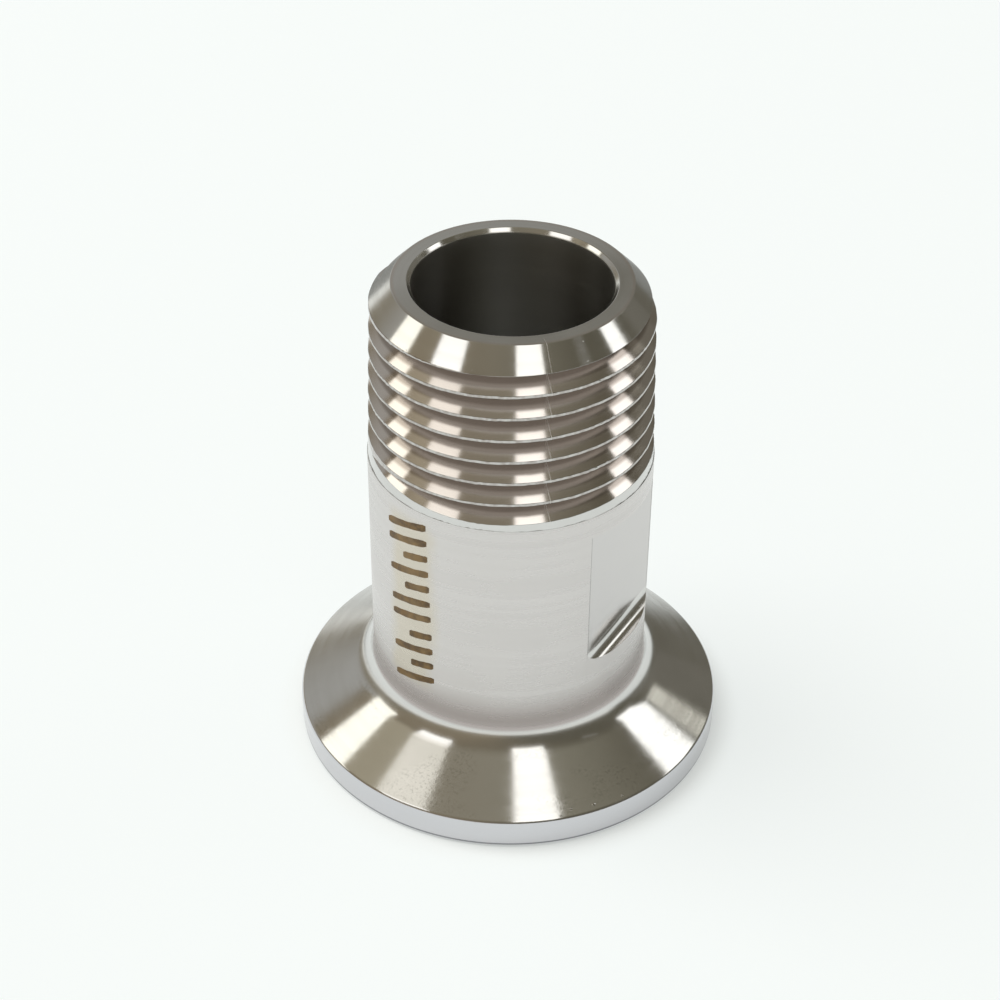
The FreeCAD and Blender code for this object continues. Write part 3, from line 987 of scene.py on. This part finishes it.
def make_world():
    world = bpy.data.worlds.new("room")
    bpy.context.scene.world = world
    world.use_nodes = True
    g = Graph(world.node_tree)
    out = g.node("ShaderNodeOutputWorld")
    bg = g.node("ShaderNodeBackground")
    g.tree.links.new(bg.outputs[0], out.inputs[0])
    d = g.coord("Generated")
    height = g.parts(d)[2]
    up = g.math("MAXIMUM", height, HORIZON)
    u = g.math("DIVIDE", g.dot(d, RIGHT), up)
    v = g.math("DIVIDE", g.dot(d, AWAY), up)
    colour = ceiling(g, u, v)
    for corners, tint, strength in PANELS:
        colour = g.mix(panel(g, u, v, corners), colour, tuple(strength * c for c in tint) + (1,))
    # the room is white low down, but for its dark back right
    back = g.math("ADD", g.product(g.dot(d, AWAY), DARK_AWAY), g.product(g.dot(d, RIGHT), DARK_RIGHT))
    low = g.product(g.ramp(height, *WALL_PASS, 1.0, 0.0), g.ramp(back, *DARK_PASS, 1.0, 0.0))
    colour = g.mix(low, colour, WHITE_WALL)
    ray = g.node("ShaderNodeLightPath").outputs["Is Camera Ray"]
    g.put(bg.inputs["Color"], g.mix(ray, colour, BACKGROUND))
    bg.inputs["Strength"].default_value = 1.0


make_world()


# Table
TABLE_HALF = 1200
TABLE_DIVISIONS = 8
PAPER = (0.90, 0.925, 0.92, 1)
PAPER_SEEN = (0.955, 1.0, 0.99, 1)
TABLE_END = (0.10, 0.105, 0.10, 1)
# distances behind the object, metres, between which the steel sees the table end
END_FROM, END_TO = 0.04, 0.12
# distances from the axis, metres, between which the paper's plain white takes over from its own shading
SHADE_FROM, SHADE_TO = 0.0165, 0.0195
WHITE_NEAR, WHITE_FAR = 0.45, 0.75


def table_paper():
    """Paper that is white to the eye and in the steel, and still takes the object's shadow."""
    mat, g, bsdf, out = new_material("table_paper")
    bsdf.inputs["Base Color"].default_value = PAPER
    bsdf.inputs["Roughness"].default_value = 0.9
    bsdf.inputs["Specular IOR Level"].default_value = 0.1
    path = g.node("ShaderNodeLightPath")
    seen = g.math("MAXIMUM", path.outputs["Is Camera Ray"], path.outputs["Is Glossy Ray"])
    seen = g.math("MAXIMUM", seen, path.outputs["Is Transmission Ray"])
    coord = g.coord()
    x, y, _ = g.parts(coord)
    white = g.node("ShaderNodeEmission")
    far_off = g.product(path.outputs["Is Glossy Ray"], g.ramp(g.dot(coord, AWAY), END_FROM, END_TO))
    g.put(white.inputs["Color"], g.mix(far_off, PAPER_SEEN, TABLE_END))
    # near the object the paper's own shading shows its contact shadow
    both = g.node("ShaderNodeMixShader")
    share = g.ramp(g.length(x, y), SHADE_FROM, SHADE_TO, WHITE_NEAR, WHITE_FAR)
    g.put(both.inputs[0], g.product(seen, share))
    g.put(both.inputs[1], bsdf.outputs[0])
    g.put(both.inputs[2], white.outputs[0])
    g.put(out.inputs[0], both.outputs[0])
    return mat


def make_floor():
    n = TABLE_DIVISIONS
    steps = [TABLE_HALF * (2 * i / n - 1) for i in range(n + 1)]
    grid = [(x, y, 0) for y in steps for x in steps]
    faces = []
    for j in range(n):
        for i in range(n):
            p = j * (n + 1) + i
            faces.append((p, p + 1, p + n + 2, p + n + 1))
    obj = new_object("table", grid, faces)
    obj.data.materials.append(table_paper())
    return obj


floor = make_floor()


# Lamp, in metres and watts
LAMP_PLACE = (-0.9, -0.3, 1.5)
LAMP_SIZE = 1.2
LAMP_POWER = 22.0


def make_lamp():
    """A soft square lamp that shines on the object and shows in none of its reflections."""
    data = bpy.data.lights.new("soft_left", "AREA")
    data.shape = "SQUARE"
    data.size = LAMP_SIZE
    data.energy = LAMP_POWER
    obj = bpy.data.objects.new("soft_left", data)
    bpy.context.scene.collection.objects.link(obj)
    obj.location = Vector(LAMP_PLACE)
    obj.rotation_mode = "QUATERNION"
    obj.rotation_quaternion = (-obj.location).to_track_quat("-Z", "Y")
    obj.visible_glossy = False


make_lamp()


# Camera: the photograph's viewing place and direction, in metres and radians, before the turn by VIEW
EYE = (0, -0.1322534, 0.1184214)
EYE_PITCH, EYE_YAW, EYE_ROLL = 0.6363, -0.0060, 0.0086
SENSOR, LENS = 36.0, 76.184
CLIP_FROM, CLIP_TO = 0.01, 10.0


def make_camera():
    level = math.cos(EYE_PITCH)
    ahead = Vector((math.sin(EYE_YAW) * level, math.cos(EYE_YAW) * level, -math.sin(EYE_PITCH)))
    across = Vector((math.cos(EYE_YAW), -math.sin(EYE_YAW), 0))
    upward = across.cross(ahead)
    right = math.cos(EYE_ROLL) * across + math.sin(EYE_ROLL) * upward
    top = -math.sin(EYE_ROLL) * across + math.cos(EYE_ROLL) * upward
    data = bpy.data.cameras.new("camera")
    data.sensor_width = SENSOR
    data.lens = LENS
    data.clip_start = CLIP_FROM
    data.clip_end = CLIP_TO
    obj = bpy.data.objects.new("camera", data)
    bpy.context.scene.collection.objects.link(obj)
    axes = Matrix((right, top, -ahead)).transposed().to_4x4()
    obj.matrix_world = Matrix.Rotation(VIEW, 4, "Z") @ Matrix.Translation(Vector(EYE)) @ axes
    bpy.context.scene.camera = obj


make_camera()
bpy.context.scene.view_settings.view_transform = "Standard"
